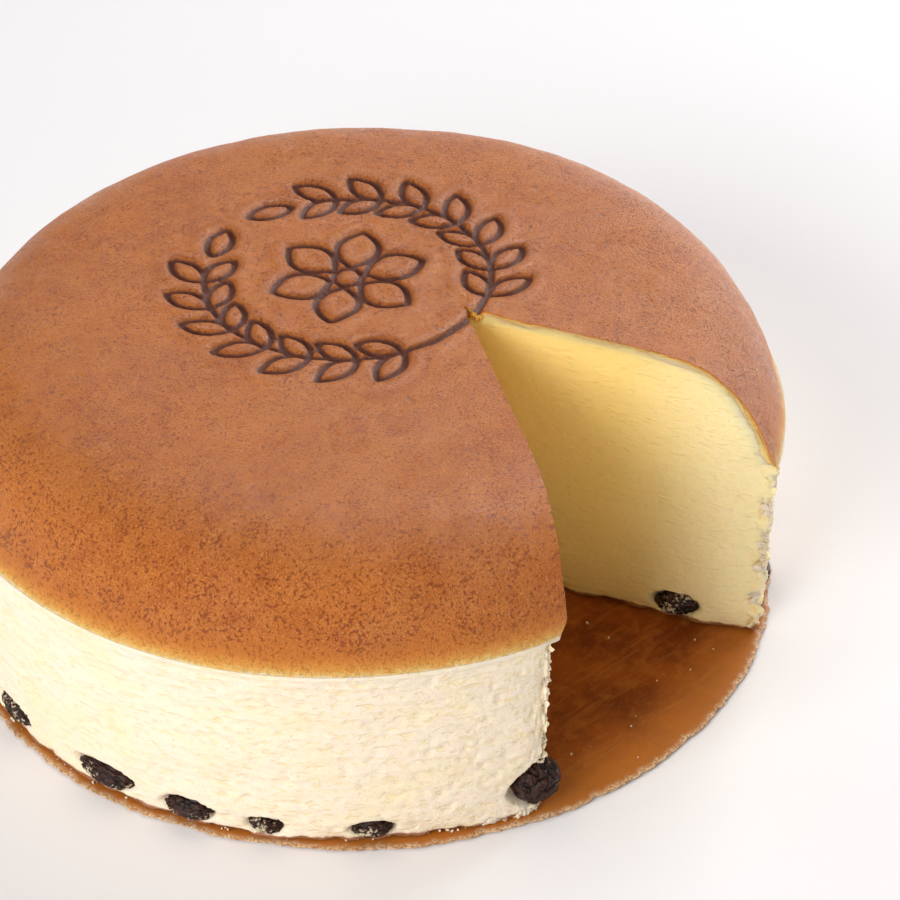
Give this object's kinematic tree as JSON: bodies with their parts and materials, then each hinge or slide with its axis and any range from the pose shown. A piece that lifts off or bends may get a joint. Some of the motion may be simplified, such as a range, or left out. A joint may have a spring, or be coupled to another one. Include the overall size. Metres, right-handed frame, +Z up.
{
  "type": "jiggly cheesecake",
  "caption": "Round souffle cheesecake with a browned domed top, pale crumb side, raisins at its foot and one wedge cut out, on a thin browned base sheet.",
  "frame": {"origin": "middle of the underside of the whole object's box, on the table", "axes": "+Z up, along the cake's axis; the missing wedge opens towards -Y; +X to the right when facing the wedge"},
  "size_m": [0.1798, 0.1788, 0.0707],
  "materials": {
    "cake": "matte crumb, browned on top",
    "base_sheet": "browned, slightly greasy",
    "raisin": "wrinkled, satin"
  },
  "bodies": {
    "root": {"base_sheet": "base_sheet", "cake": "cake", "raisin_01": "raisin", "raisin_02": "raisin", "raisin_03": "raisin", "raisin_04": "raisin", "raisin_05": "raisin", "raisin_06": "raisin", "raisin_07": "raisin", "raisin_08": "raisin", "raisin_09": "raisin", "raisin_10": "raisin", "raisin_11": "raisin", "raisin_12": "raisin", "raisin_13": "raisin", "raisin_14": "raisin", "raisin_15": "raisin", "raisin_16": "raisin", "raisin_17": "raisin", "raisin_18": "raisin"}
  },
  "joints": []
}
